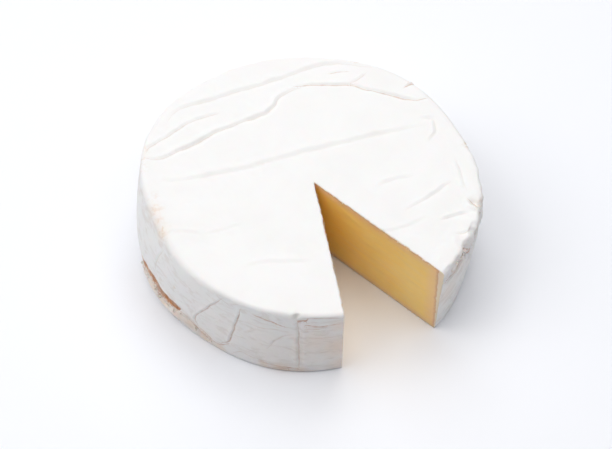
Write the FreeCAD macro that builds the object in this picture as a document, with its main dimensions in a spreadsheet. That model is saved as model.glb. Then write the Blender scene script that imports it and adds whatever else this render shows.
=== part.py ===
"""A small soft-ripened brie wheel with one wedge cut out.

The cheese is one piece: a low, uneven drum with a soft rim, a belly round its side and a flat base.
Its skin carries the folds that its wrapping paper pressed into it, the seam where the side skin meets
itself, and a crack low on the side where the skin has come away. The wedge was cut with two straight
strokes of a knife that meet just short of the wheel's middle.

Frame: millimetres, +Z up, the origin on the wheel's axis at its base. The cut opens towards -Y.
"""
import FreeCAD
import Part
import Sketcher
import math
import os

# ---------------------------------------------------------------- driving dimensions
SIZES = {
    "wheel_diameter": 130.0,   # across the belly, before its unevenness
    "wheel_height": 36.0,
    "belly_bulge": 0.5,        # how far the belly swells past the base's edge
    "shoulder_inset": 0.5,     # how far the side leans in again at the top
    "top_rounding": 1.6,       # radius of the rim's top edge where it is crisp
    "slump": 2.6,              # how much larger that radius is where the rim has slumped
    "base_rounding": 1.2,
    "outline_wave": 1.0,       # how far the outline wanders from a circle
    "lip_swell": 1.4,          # how far the cheese has sagged outwards on one side of the cut
    "mouth_flare": 2.2,        # how far the top hangs outwards at the cut's mouth
    "lean": 3.8,               # how far the slumped side leans in at the top
    "tuck": 2.3,               # how far the base is drawn in under the sagging side
    "cut_angle": 37.5,         # between the two knife strokes
    "cut_apex_offset": 3.2,    # from the wheel's axis to where the strokes meet
    "cut_apex_shift": 1.0,     # and how far that point lies to +X of the axis
    "fold_width": 1.5,         # a paper fold, pressed in half as deep as it is wide, as all these lines are
    "crease_width": 0.8,       # a finer line of the same kind
    "seam_width": 1.8,         # the upright seam of the side skin
    "crack_width": 3.2,        # where the side skin has come away
}

CUT_TURN = -91.0               # the way the cut opens, in degrees round from +X

# The outline's unevenness: (lobes round the wheel, share of outline_wave, direction of a lobe in degrees).
OUTLINE_LOBES = [(2, 0.69, -57.3), (3, 0.14, -12.3), (4, 0.44, 40.2), (5, 0.49, 30.4), (7, 0.34, 21.3)]
# Where each local change of the drum is strongest, and how far round it reaches, in degrees.
SLUMP_ANGLE, SLUMP_SPREAD = 178.0, 25.0
LEAN_ANGLE, LEAN_SPREAD = 172.0, 19.0
LIP_ANGLE, LIP_SPREAD = -70.0, 15.0
FLARE_ANGLE, FLARE_SPREAD = -91.0, 22.0
TUCK_ANGLE, TUCK_SPREAD = -42.0, 24.0
RING_POINTS = 24               # points that each ring of the drum is drawn through
END_SHARE = 0.35               # a groove's depth at its two ends, as a share of its full depth

# Folds on the top face, each a route in shares of the wheel's radius: (x, y).
TOP_FOLDS = {
    "back_fold": [(-0.50, 0.82), (-0.30, 0.85), (0.06, 0.80), (0.40, 0.75), (0.64, 0.68), (0.78, 0.60)],
    "corner_fold": [(-0.74, 0.65), (-0.50, 0.68), (-0.36, 0.72), (-0.22, 0.71)],
    "left_fold": [(-0.77, 0.59), (-0.58, 0.55), (-0.28, 0.57), (0.02, 0.57), (0.17, 0.65), (0.30, 0.65)],
    "ridge_fold": [(0.28, 0.69), (0.46, 0.60), (0.60, 0.52), (0.70, 0.41), (0.80, 0.29), (0.87, 0.21)],
    "branch_fold": [(0.58, 0.54), (0.68, 0.54), (0.76, 0.56)],
    "long_fold": [(-0.79, 0.43), (-0.71, 0.37), (-0.44, 0.30), (-0.12, 0.21), (0.30, 0.12), (0.66, 0.05), (0.91, 0.0)],
}
TOP_CREASES = {
    "short_crease": [(-0.16, 0.21), (-0.09, 0.20), (-0.03, 0.18)],
    "cut_crease": [(0.13, -0.55), (0.22, -0.58), (0.33, -0.60), (0.44, -0.60)],
    "right_crease": [(0.51, -0.65), (0.59, -0.68), (0.67, -0.67)],
    "left_crease": [(-0.90, 0.04), (-0.80, -0.02), (-0.73, -0.08)],
    "low_crease": [(-0.71, -0.09), (-0.60, -0.11), (-0.50, -0.12)],
    "front_crease": [(-0.64, -0.40), (-0.54, -0.42), (-0.29, -0.55)],
    "wrinkle_a": [(0.38, -0.49), (0.50, -0.48), (0.62, -0.46), (0.70, -0.44)],
    "wrinkle_b": [(0.32, -0.26), (0.42, -0.26), (0.54, -0.29)],
    "wrinkle_c": [(0.83, -0.05), (0.79, -0.14), (0.73, -0.17)],
}
# Folds on the side, each a route of (degrees round from +X, share of the wheel's height).
SIDE_CREASES = {
    "flap_edge": [(211.5, 0.93), (207.0, 0.72), (202.5, 0.50), (199.5, 0.32), (201.0, 0.21)],
    "flap_side": [(218.6, 0.90), (217.2, 0.72), (215.6, 0.50), (213.8, 0.28), (210.5, 0.16)],
    "shoulder_slit": [(223.5, 0.88), (228.0, 0.85), (233.0, 0.80)],
    "arch_line": [(227.5, 0.38), (229.8, 0.52), (232.5, 0.63), (235.6, 0.68)],
    "left_line": [(180.5, 0.84), (178.4, 0.66), (178.0, 0.52), (180.0, 0.42)],
}
SEAM_ROUTE = [(237.2, 0.995), (237.3, 0.95), (237.4, 0.84), (237.6, 0.64), (237.8, 0.42), (237.9, 0.18)]
CRACK_ROUTE = [(163.0, 0.20), (170.0, 0.25), (177.5, 0.30), (184.5, 0.35), (190.0, 0.31), (195.0, 0.22)]

doc = FreeCAD.newDocument("brie_wheel")


def make_sheet():
    """The driving dimensions, one aliased cell each."""
    sheet = doc.addObject("Spreadsheet::Sheet", "sizes")
    for row, (alias, value) in enumerate(SIZES.items(), start=1):
        sheet.set(f"A{row}", alias)
        sheet.set(f"B{row}", str(value))
        sheet.setAlias(f"B{row}", alias)
    doc.recompute()
    return sheet


sheet = make_sheet()


def size(alias):
    return float(sheet.get(alias))


# ---------------------------------------------------------------- the uneven drum
def nearness(angle, middle, spread):
    """One in the middle direction, dying away smoothly to both sides of it."""
    aside = (angle - middle + 180.0) % 360.0 - 180.0
    return math.exp(-(aside / spread) ** 2)


def radius_at(angle):
    """The belly's radius in a direction, in degrees round from +X."""
    wander = sum(share * math.cos(math.radians(lobes * (angle - direction)))
                 for lobes, share, direction in OUTLINE_LOBES)
    swell = size("lip_swell") * nearness(angle, LIP_ANGLE, LIP_SPREAD)
    return size("wheel_diameter") / 2 + size("outline_wave") * wander + swell


def rounding_at(angle):
    """The radius of the rim's top edge in a direction."""
    return size("top_rounding") + size("slump") * nearness(angle, SLUMP_ANGLE, SLUMP_SPREAD)


def side_inset(angle, share):
    """How far the side stands in from the belly in a direction, at a share of the height."""
    curve = "belly_bulge" if share < 0.5 else "shoulder_inset"
    inset = size(curve) * (2 * share - 1) ** 2
    inset += size("lean") * nearness(angle, LEAN_ANGLE, LEAN_SPREAD) * share ** 2
    inset += size("tuck") * nearness(angle, TUCK_ANGLE, TUCK_SPREAD) * (1 - share) ** 2
    return inset - size("mouth_flare") * nearness(angle, FLARE_ANGLE, FLARE_SPREAD) * share ** 3


def base_rounding_points(angle, steps):
    """Points of the quarter circle from the base face up to the side, as (radius, height)."""
    r = size("base_rounding")
    edge = radius_at(angle) - side_inset(angle, 0.0)
    turns = [math.radians(90.0 * i / steps) for i in range(steps + 1)]
    return [(edge - r + r * math.sin(t), r - r * math.cos(t)) for t in turns]


def top_rounding_points(angle, steps):
    """Points of the quarter circle from the side over to the top face, as (radius, height)."""
    r = rounding_at(angle)
    edge = radius_at(angle) - side_inset(angle, 1.0)
    turns = [math.radians(90.0 * i / steps) for i in range(steps + 1)]
    return [(edge - r + r * math.cos(t), size("wheel_height") - r + r * math.sin(t)) for t in turns]


def side_points(angle, shares):
    """Points of the side between the two roundings, as (radius, height)."""
    low = size("base_rounding")
    high = size("wheel_height") - rounding_at(angle)
    return [(radius_at(angle) - side_inset(angle, s), low + (high - low) * s) for s in shares]


def profile_at(angle):
    """The drum's outline in one direction, from the base's edge over the side to the top's edge."""
    return base_rounding_points(angle, 3) + side_points(angle, (0.2, 0.4, 0.6, 0.8)) + top_rounding_points(angle, 4)


def make_ring(number, points):
    """One closed curve round the drum."""
    curve = Part.BSplineCurve()
    curve.interpolate(Points=points, PeriodicFlag=True)
    ring = doc.addObject("Part::Feature", f"ring_{number:02d}")
    ring.Shape = Part.Wire([curve.toShape()])
    return ring


def make_drum():
    angles = [360.0 * i / RING_POINTS for i in range(RING_POINTS)]
    profiles = [profile_at(a) for a in angles]
    rings = []
    for number in range(len(profiles[0])):
        points = [FreeCAD.Vector(p[number][0] * math.cos(math.radians(a)),
                                 p[number][0] * math.sin(math.radians(a)),
                                 p[number][1]) for a, p in zip(angles, profiles)]
        rings.append(make_ring(number, points))
    drum = doc.addObject("Part::Loft", "drum")
    drum.Sections = rings
    drum.Solid = True
    drum.Ruled = False
    return drum


# ---------------------------------------------------------------- the knife's cut
def triangle_sketch(name, length, base):
    """A triangle with its point at the sketch's origin, opening evenly along X; both sizes are formulas."""
    sketch = doc.addObject("Sketcher::SketchObject", name)
    point, low, high = FreeCAD.Vector(0, 0, 0), FreeCAD.Vector(1, -1, 0), FreeCAD.Vector(1, 1, 0)
    sides = [(point, low), (low, high), (high, point)]
    sketch.addGeometry([Part.LineSegment(start, end) for start, end in sides])
    rule = Sketcher.Constraint
    sketch.addConstraint([rule("Coincident", 0, 2, 1, 1), rule("Coincident", 1, 2, 2, 1), rule("Coincident", 2, 2, 0, 1)])
    sketch.addConstraint([rule("Coincident", 0, 1, -1, 1), rule("Symmetric", 1, 1, 1, 2, -1)])
    sketch.renameConstraint(sketch.addConstraint(rule("DistanceX", -1, 1, 1, 1, 1.0)), "length")
    sketch.renameConstraint(sketch.addConstraint(rule("DistanceY", 1, 1, 1, 2, 2.0)), "base")
    sketch.setExpression("Constraints.length", length)
    sketch.setExpression("Constraints.base", base)
    return sketch


def make_cut_tool():
    """The wedge that was taken out: from where the strokes meet to well outside the wheel, and through it."""
    outline = triangle_sketch("cut_outline", "0.7 * sizes.wheel_diameter",
                              "1.4 * sizes.wheel_diameter * tan(sizes.cut_angle / 2)")
    outline.Placement = FreeCAD.Placement(FreeCAD.Vector(0, 0, 0), FreeCAD.Rotation(FreeCAD.Vector(0, 0, 1), CUT_TURN))
    outline.setExpression("Placement.Base.x", "sizes.cut_apex_shift")
    outline.setExpression("Placement.Base.y", "-sizes.cut_apex_offset")
    outline.setExpression("Placement.Base.z", "-0.25 * sizes.wheel_height")
    tool = doc.addObject("Part::Extrusion", "cut_tool")
    tool.Base = outline
    tool.DirMode = "Custom"
    tool.Dir = FreeCAD.Vector(0, 0, 1)
    tool.Solid = True
    tool.setExpression("LengthFwd", "1.5 * sizes.wheel_height")
    return tool


# ---------------------------------------------------------------- folds, creases, seam and crack
def on_top(x_share, y_share):
    """A point of the skin above (x, y), in shares of the wheel's radius, and the way out of the cheese there."""
    angle = math.degrees(math.atan2(y_share, x_share))
    r = rounding_at(angle)
    edge = radius_at(angle) - side_inset(angle, 1.0)
    radius = min(math.hypot(x_share, y_share) * size("wheel_diameter") / 2, edge)
    tilt = math.acos(min(1.0, max(0.0, radius - (edge - r)) / r))
    return skin_point(angle, radius, size("wheel_height") - r + r * math.sin(tilt), tilt)


def on_side(angle, share):
    """A point of the skin at a share of the wheel's height, and the way out of the cheese there."""
    height = share * size("wheel_height")
    top_start = size("wheel_height") - rounding_at(angle)
    if height > top_start:
        r = rounding_at(angle)
        tilt = math.asin((height - top_start) / r)
        return skin_point(angle, radius_at(angle) - side_inset(angle, 1.0) - r + r * math.cos(tilt), height, tilt)
    if height < size("base_rounding"):
        r = size("base_rounding")
        tilt = -math.asin((r - height) / r)
        return skin_point(angle, radius_at(angle) - side_inset(angle, 0.0) - r + r * math.cos(tilt), height, tilt)
    belly_share = (height - size("base_rounding")) / (top_start - size("base_rounding"))
    return skin_point(angle, radius_at(angle) - side_inset(angle, belly_share), height, 0.0)


def skin_point(angle, radius, height, tilt):
    """A point at a radius and height, and its outward direction, tilted up from level by an angle in radians."""
    c, s = math.cos(math.radians(angle)), math.sin(math.radians(angle))
    point = FreeCAD.Vector(radius * c, radius * s, height)
    outward = FreeCAD.Vector(math.cos(tilt) * c, math.cos(tilt) * s, math.sin(tilt))
    return point, outward


def make_groove(name, kind, places):
    """A square bar along the skin, one corner down, that presses a groove in: shallow at both ends."""
    width = size(f"{kind}_width")
    last = len(places) - 1
    sections = []
    for i, (point, outward) in enumerate(places):
        along = places[min(i + 1, last)][0] - places[max(i - 1, 0)][0]
        depth = width / 2 * (END_SHARE if i in (0, last) else 1)
        square = doc.addObject("Part::RegularPolygon", f"{name}_{i}")
        square.Polygon = 4
        square.setExpression("Circumradius", f"sizes.{kind}_width")
        turn = FreeCAD.Rotation(outward, along.cross(outward), along, "ZXY")
        square.Placement = FreeCAD.Placement(point + outward * (width - depth), turn)
        sections.append(square)
    bar = doc.addObject("Part::Loft", name)
    bar.Sections = sections
    bar.Solid = True
    bar.Ruled = False
    return bar


def make_grooves():
    grooves = [make_groove(n, "fold", [on_top(*p) for p in route]) for n, route in TOP_FOLDS.items()]
    grooves += [make_groove(n, "crease", [on_top(*p) for p in route]) for n, route in TOP_CREASES.items()]
    grooves += [make_groove(n, "crease", [on_side(*p) for p in route]) for n, route in SIDE_CREASES.items()]
    grooves.append(make_groove("side_seam", "seam", [on_side(*p) for p in SEAM_ROUTE]))
    grooves.append(make_groove("skin_crack", "crack", [on_side(*p) for p in CRACK_ROUTE]))
    return grooves


# ---------------------------------------------------------------- the one solid
def cut(name, base, tool):
    result = doc.addObject("Part::Cut", name)
    result.Base = base
    result.Tool = tool
    result.Refine = False      # every groove keeps its own faces
    return result


def make_wheel():
    """The drum, less the wedge, less each groove in turn."""
    wheel = cut("opened_drum", make_drum(), make_cut_tool())
    for groove in make_grooves():
        wheel = cut(f"with_{groove.Name}", wheel, groove)
    wheel.Label = "brie_wheel"
    return wheel


def check_document():
    """Stops on any object that failed, and on a sub-part whose shape can't be used."""
    for item in doc.Objects:
        if "Invalid" in item.State or "Error" in item.State:
            raise RuntimeError(f"{item.Label} failed: {item.State}")


def write_parts(sub_parts):
    os.makedirs("parts", exist_ok=True)
    for part in sub_parts:
        shape = part.Shape
        if shape.isNull() or not shape.isValid() or not shape.Solids:
            raise RuntimeError(f"{part.Label} has no valid solid")
        print(part.Label, "solids", len(shape.Solids), "faces", len(shape.Faces), "volume", round(shape.Volume, 1),
              "box", shape.BoundBox)
        shape.exportStep(f"parts/{part.Label}.step")


wheel = make_wheel()
doc.recompute()
check_document()
write_parts([wheel])
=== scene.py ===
# %% [markdown]
# # A small brie wheel with one wedge cut out
# This lesson builds a soft-ripened cheese: a low drum in a white mould rind, with a wedge-shaped cut that
# shows the ripe, golden paste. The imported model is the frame: it says where the cheese is and how large it
# is. Everything here is made in millimetres and turned into metres when a mesh is written.

# %% Load the frame
import math
import bpy
import bmesh
import numpy as np
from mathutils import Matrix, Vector, geometry, noise


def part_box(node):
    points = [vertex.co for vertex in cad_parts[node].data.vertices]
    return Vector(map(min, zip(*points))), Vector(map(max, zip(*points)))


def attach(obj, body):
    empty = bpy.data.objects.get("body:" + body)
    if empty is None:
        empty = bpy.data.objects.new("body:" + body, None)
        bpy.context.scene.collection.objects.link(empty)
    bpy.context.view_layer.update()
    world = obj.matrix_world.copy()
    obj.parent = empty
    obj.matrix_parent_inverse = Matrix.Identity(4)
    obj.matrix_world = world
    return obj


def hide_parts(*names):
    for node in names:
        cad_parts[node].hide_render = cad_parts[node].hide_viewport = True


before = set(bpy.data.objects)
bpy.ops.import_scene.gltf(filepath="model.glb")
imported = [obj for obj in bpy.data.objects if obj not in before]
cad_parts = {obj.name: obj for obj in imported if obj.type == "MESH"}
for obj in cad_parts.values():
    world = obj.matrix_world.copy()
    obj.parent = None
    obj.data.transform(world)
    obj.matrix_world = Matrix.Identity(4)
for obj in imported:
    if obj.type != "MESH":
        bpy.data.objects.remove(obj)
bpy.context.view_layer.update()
MM = 0.001
base_corner, top_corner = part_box("brie_wheel")


def in_mm(corner):
    return [round(float(v) / MM, 1) for v in corner]


print("packed wheel from", in_mm(base_corner), "to", in_mm(top_corner))

# %% [markdown]
# ## The sizes of the wheel
# A real wheel is never a true cylinder. It swells and flattens as it ripens on its rack, so its outline
# wanders by a millimetre or two. A few cosine waves round the wheel give that, and they can be read at any
# angle, which a hand-drawn outline can't.

# %% The wheel's own sizes
WHEEL_RADIUS = 65.0
WHEEL_HEIGHT = (top_corner[2] - base_corner[2]) / MM
BELLY_BULGE, SHOULDER_INSET = 0.5, 0.5
TOP_ROUNDING, SLUMP, BASE_ROUNDING = 1.6, 2.6, 1.2
OUTLINE_WAVE = 1.0
OUTLINE_LOBES = [(2, 0.69, -57.3), (3, 0.14, -12.3), (4, 0.44, 40.2), (5, 0.49, 30.4), (7, 0.34, 21.3)]
LIP_SWELL, MOUTH_FLARE, LEAN, TUCK, BELLY = 1.4, 4.0, 3.8, 2.3, 1.3
# where each local change is strongest, and how far round it reaches, in degrees
SLUMP_AT, LEAN_AT, LIP_AT = (178, 25), (172, 19), (-70, 15)
FLARE_AT, TUCK_AT, BELLY_AT = (-91, 22), (-42, 24), (155, 24)
CUT_APEX = np.array([1.0, -3.2])
CUT_TURN = math.radians(-91.0)
CUT_HALF_ANGLE = math.radians(18.75)


def turn_between(a, b):
    """The signed angle from b to a, between minus and plus half a turn."""
    return (a - b + math.pi) % (2 * math.pi) - math.pi


def near_turn(turn, at):
    """One in the named direction, dying away smoothly to both sides of it."""
    middle, spread = (math.radians(v) for v in at)
    return np.exp(-(turn_between(turn, middle) / spread) ** 2)


def outline_radius(turn):
    """How far the belly reaches from the wheel's axis in a direction."""
    wander = sum(share * np.cos(lobes * (turn - math.radians(way))) for lobes, share, way in OUTLINE_LOBES)
    return WHEEL_RADIUS + OUTLINE_WAVE * wander + LIP_SWELL * near_turn(turn, LIP_AT)


def rim_rounding(turn):
    """The radius of the top edge in a direction: crisp, except where the rim has slumped."""
    return TOP_ROUNDING + SLUMP * near_turn(turn, SLUMP_AT)


def side_inset(turn, share):
    """How far the side stands in from the belly in a direction, at a share of its height."""
    inset = (BELLY_BULGE if share < 0.5 else SHOULDER_INSET) * (2 * share - 1) ** 2
    inset = inset + LEAN * near_turn(turn, LEAN_AT) * share ** 2
    inset = inset + TUCK * near_turn(turn, TUCK_AT) * (1 - share) ** 2
    inset = inset - MOUTH_FLARE * near_turn(turn, FLARE_AT) * share ** 3
    return inset - BELLY * near_turn(turn, BELLY_AT) * 4 * share * (1 - share)


def flat_edge(turn):
    """How far from the axis the flat top ends and the rim's rounding starts."""
    return outline_radius(turn) - side_inset(turn, 1.0) - rim_rounding(turn)


# %% [markdown]
# ## The blank
# The cut splits the drum open, so the mesh is laid like the pages of a fan whose spine is the upright line
# where the two knife strokes meet. Each ring of points runs from one cut face round to the other. Rings near
# the spine get fewer points than rings at the rim, so the facets stay about the same size everywhere and no
# triangles are wasted in the middle.

# %% Rings of points from the top's middle, over the rim, down the side and under the base
TOP_STEP, SIDE_STEP, BASE_STEP, CUT_STEP = 0.66, 0.57, 2.4, 0.62
FIRST_TURN = CUT_TURN + CUT_HALF_ANGLE
LAST_TURN = CUT_TURN + 2 * math.pi - CUT_HALF_ANGLE
FAN = LAST_TURN - FIRST_TURN


def reach(turns):
    """How far the outline lies from the cut's spine along each direction."""
    out = np.full(turns.shape, WHEEL_RADIUS)
    for _ in range(12):
        x, y = CUT_APEX[0] + out * np.cos(turns), CUT_APEX[1] + out * np.sin(turns)
        out = out + outline_radius(np.arctan2(y, x)) - np.hypot(x, y)
    return out


def ring_points(count, profile):
    """One ring; profile gives distance from the spine and height for each reach and direction."""
    turns = np.linspace(FIRST_TURN, LAST_TURN, count + 1)
    far = reach(turns)
    around = np.arctan2(CUT_APEX[1] + far * np.sin(turns), CUT_APEX[0] + far * np.cos(turns))
    out, height = profile(far, around)
    return np.stack([CUT_APEX[0] + out * np.cos(turns), CUT_APEX[1] + out * np.sin(turns),
                     height * np.ones_like(out)], axis=1)


def top_profile(s):
    return lambda far, turn: ((far - side_inset(turn, 1.0) - rim_rounding(turn)) * s, WHEEL_HEIGHT)


def rim_profile(t):
    def place(far, turn):
        r = rim_rounding(turn)
        return far - side_inset(turn, 1.0) - r + r * math.sin(t), WHEEL_HEIGHT - r + r * math.cos(t)
    return place


def side_profile(s):
    return lambda far, turn: (far - side_inset(turn, s),
                              BASE_ROUNDING + (WHEEL_HEIGHT - rim_rounding(turn) - BASE_ROUNDING) * s)


def foot_profile(t):
    return lambda far, turn: (far - side_inset(turn, 0.0) - BASE_ROUNDING + BASE_ROUNDING * math.cos(t),
                              BASE_ROUNDING - BASE_ROUNDING * math.sin(t))


def base_profile(s):
    return lambda far, turn: ((far - side_inset(turn, 0.0) - BASE_ROUNDING) * s, 0.0)


def blank_rings():
    rim_count = round(FAN * WHEEL_RADIUS / SIDE_STEP)
    rows = math.ceil((WHEEL_RADIUS - 2) / TOP_STEP)
    rings = [ring_points(max(8, round(FAN * i)), top_profile(i / rows)) for i in range(1, rows)]
    rings += [ring_points(rim_count, rim_profile(math.pi / 2 * k / 6)) for k in range(7)]
    side_rows = round((WHEEL_HEIGHT - TOP_ROUNDING - BASE_ROUNDING) / SIDE_STEP)
    rings += [ring_points(rim_count, side_profile(1 - k / side_rows)) for k in range(1, side_rows)]
    rings += [ring_points(rim_count, foot_profile(math.pi / 2 * k / 4)) for k in range(5)]
    base_rows = math.ceil(WHEEL_RADIUS / BASE_STEP)
    for k in range(1, base_rows):
        s = 1 - k / base_rows
        rings.append(ring_points(max(8, round(FAN * WHEEL_RADIUS * s / BASE_STEP)), base_profile(s)))
    return rings


rings = blank_rings()
print("rings", len(rings), "points", sum(len(r) for r in rings))

# %% [markdown]
# ## Stitching the rings together
# Two neighbouring rings may hold different numbers of points. A zipper closes the strip between them: it
# walks along both at once and always steps on the one that is behind. The cut faces are then filled with
# evenly spread points joined by a Delaunay triangulation, which keeps their triangles well shaped.

# %% Zip the rings, then fill the two cut faces
def zipper(upper, lower):
    """Triangles between two rows of point numbers that start and end side by side."""
    faces, i, j = [], 0, 0
    last_i, last_j = len(upper) - 1, len(lower) - 1
    while i < last_i or j < last_j:
        upper_is_behind = (i + 1) * last_j <= (j + 1) * last_i
        if j == last_j or (i < last_i and upper_is_behind):
            faces.append((upper[i], lower[j], upper[i + 1]))
            i += 1
        else:
            faces.append((upper[i], lower[j], lower[j + 1]))
            j += 1
    return faces


def fill_cut_face(points, border, turn):
    """Points and triangles of one cut face; border is its closed line of point numbers, apex line included."""
    away = np.array([math.cos(turn), math.sin(turn)])
    flat = [Vector((float((points[n][:2] - CUT_APEX) @ away), float(points[n][2]))) for n in border]
    far = max(p.x for p in flat)
    rim_line = np.array(sorted((q.y, q.x) for q in flat if q.x > far * 0.9)).T
    inner = []
    rows = int(WHEEL_HEIGHT / (CUT_STEP * 0.866))
    for row in range(1, rows):
        z = WHEEL_HEIGHT * row / rows
        for col in range(1, int(far / CUT_STEP)):
            p = Vector(((col + 0.5 * (row % 2)) * CUT_STEP, z))
            edge = np.interp(z, *rim_line) if p.x > far - 5 else far
            if p.x < edge - 0.6 * CUT_STEP and CUT_STEP * 0.5 < z < WHEEL_HEIGHT - CUT_STEP * 0.5:
                inner.append(p)
    done = geometry.delaunay_2d_cdt(flat + inner, [], [list(range(len(flat)))], 1, 1e-5)
    verts, faces, origins = done[0], done[2], done[3]
    numbers, fresh = [], []
    for v, source in zip(verts, origins):
        known = [s for s in source if s < len(flat)]
        if known:
            numbers.append(border[known[0]])
        else:
            numbers.append(len(points) + len(fresh))
            fresh.append([CUT_APEX[0] + v.x * away[0], CUT_APEX[1] + v.x * away[1], v.y])
    return fresh, [tuple(numbers[n] for n in face) for face in faces]


def build_blank():
    points = [[*CUT_APEX, WHEEL_HEIGHT]]
    rows = [[0]]
    for ring in rings:
        rows.append(list(range(len(points), len(points) + len(ring))))
        points.extend(ring.tolist())
    rows.append([len(points)])
    points.append([*CUT_APEX, 0.0])
    faces = []
    for upper, lower in zip(rows[:-1], rows[1:]):
        faces.extend(zipper(upper, lower))
    spine_steps = round(WHEEL_HEIGHT / CUT_STEP)
    spine = list(range(len(points), len(points) + spine_steps - 1))
    points.extend([[*CUT_APEX, WHEEL_HEIGHT * k / spine_steps] for k in range(1, spine_steps)])
    skin_faces = len(faces)
    skin_points = len(points)
    for turn, end in ((FIRST_TURN, 0), (LAST_TURN, -1)):
        border = [row[end] for row in rows] + spine
        fresh, more = fill_cut_face(np.array(points), border, turn)
        points.extend(fresh)
        faces.extend(more)
    return np.array(points), faces, skin_faces, skin_points


points, faces, skin_faces, skin_points = build_blank()
print("blank: points", len(points), "triangles", len(faces), "of which skin", skin_faces)

# %% [markdown]
# ## What the knife and the weight of the cheese did
# A knife doesn't leave a perfect plane. The soft paste relaxes after the cut and swells a little out of the
# face, the tougher rind stays proud along the edge, and where the blade tore the mould the top edge steps in
# and out by a fraction of a millimetre. All of that is a push along the cut face's own normal.

# %% Push the cut faces out and fray their top edge
SIDE_RIND_SHARE = 0.58   # the top's rind is this share of the side's in thickness
PASTE_SWELL = 0.55
FRAY = 0.42


def rough(x, y, z, grain, seed):
    """Smooth noise between -1 and 1 whose bumps are about a grain apart, in millimetres."""
    return noise.noise(Vector((x / grain + seed, y / grain - seed, z / grain + 0.5 * seed)))


def cut_distance(p, turn):
    """How far a point lies along and off one cut face."""
    dx, dy = p[0] - CUT_APEX[0], p[1] - CUT_APEX[1]
    return dx * math.cos(turn) + dy * math.sin(turn), -dx * math.sin(turn) + dy * math.cos(turn)


def skin_depth_at(p, along, edge_along):
    """How deep a point of a cut face lies under the skin, counted in thicknesses of the top's rind."""
    return max(0.0, min(WHEEL_HEIGHT - p[2], p[2], SIDE_RIND_SHARE * (edge_along - along)))


depth = np.zeros(len(points))
for turn, outward in ((FIRST_TURN, -1.0), (LAST_TURN, 1.0)):
    normal = np.array([-math.sin(turn), math.cos(turn)]) * outward
    edge_along = float(reach(np.array([turn]))[0]) - 0.7
    for n, p in enumerate(points):
        along, off = cut_distance(p, turn)
        if abs(off) > 3.0 or along < 0.5:
            continue
        on_face = abs(off) < 0.01
        under = skin_depth_at(p, along, edge_along)
        if n >= skin_points and on_face:
            depth[n] = under
        near_spine = min(1.0, along / 8.0)
        fray = FRAY * rough(along, turn, p[2] * 0.4, 2.6, 3.7) + 0.6 * FRAY * rough(along, turn, p[2], 0.9, 8.1)
        top_edge = math.exp(-max(0.0, WHEEL_HEIGHT - p[2]) / 1.6)
        swell = PASTE_SWELL * (1 - math.exp(-under / 2.5)) if on_face else 0.0
        waves = 0.16 * rough(along * 0.25, turn, p[2], 2.2, 1.3) * min(1.0, under / 3.0) if on_face else 0.0
        fade = max(0.0, 1 - abs(off) / 3.0) ** 2
        push = (fray * top_edge * fade + swell + waves) * near_spine
        points[n][0] += normal[0] * push
        points[n][1] += normal[1] * push
print("deepest paste", round(float(depth.max()), 1), "mm under the skin")

# %% Write the blank mesh, with what each point is stored beside it
def place_mesh(name, mesh):
    """Puts a mesh into the scene as an object at the origin."""
    obj = bpy.data.objects.new(name, mesh)
    bpy.context.scene.collection.objects.link(obj)
    return obj


def mesh_object(name, points_mm, faces):
    mesh = bpy.data.meshes.new(name)
    mesh.from_pydata((np.array(points_mm) * MM).tolist(), [], faces)
    mesh.validate()
    return place_mesh(name, mesh)


def keep_numbers(mesh, name, values, domain="POINT"):
    layer = mesh.attributes.new(name, "FLOAT", domain)
    layer.data.foreach_set("value", np.asarray(values, dtype=np.float32))


def keep_vectors(mesh, name, vectors):
    layer = mesh.attributes.new(name, "FLOAT_VECTOR", "POINT")
    layer.data.foreach_set("vector", np.array(vectors, dtype=np.float32).ravel())


blank = mesh_object("cheese_blank", points, faces)
keep_numbers(blank.data, "skin_depth", depth)
keep_numbers(blank.data, "cut_face", [0.0] * skin_faces + [1.0] * (len(faces) - skin_faces), "FACE")
keep_numbers(blank.data, "is_skin", (np.arange(len(points)) < skin_points).astype(float))
bm = bmesh.new()
bm.from_mesh(blank.data)
bmesh.ops.recalc_face_normals(bm, faces=bm.faces)
open_edges = sum(1 for e in bm.edges if not e.is_manifold)
bm.to_mesh(blank.data)
bm.free()
print("edges left open", open_edges)
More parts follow.
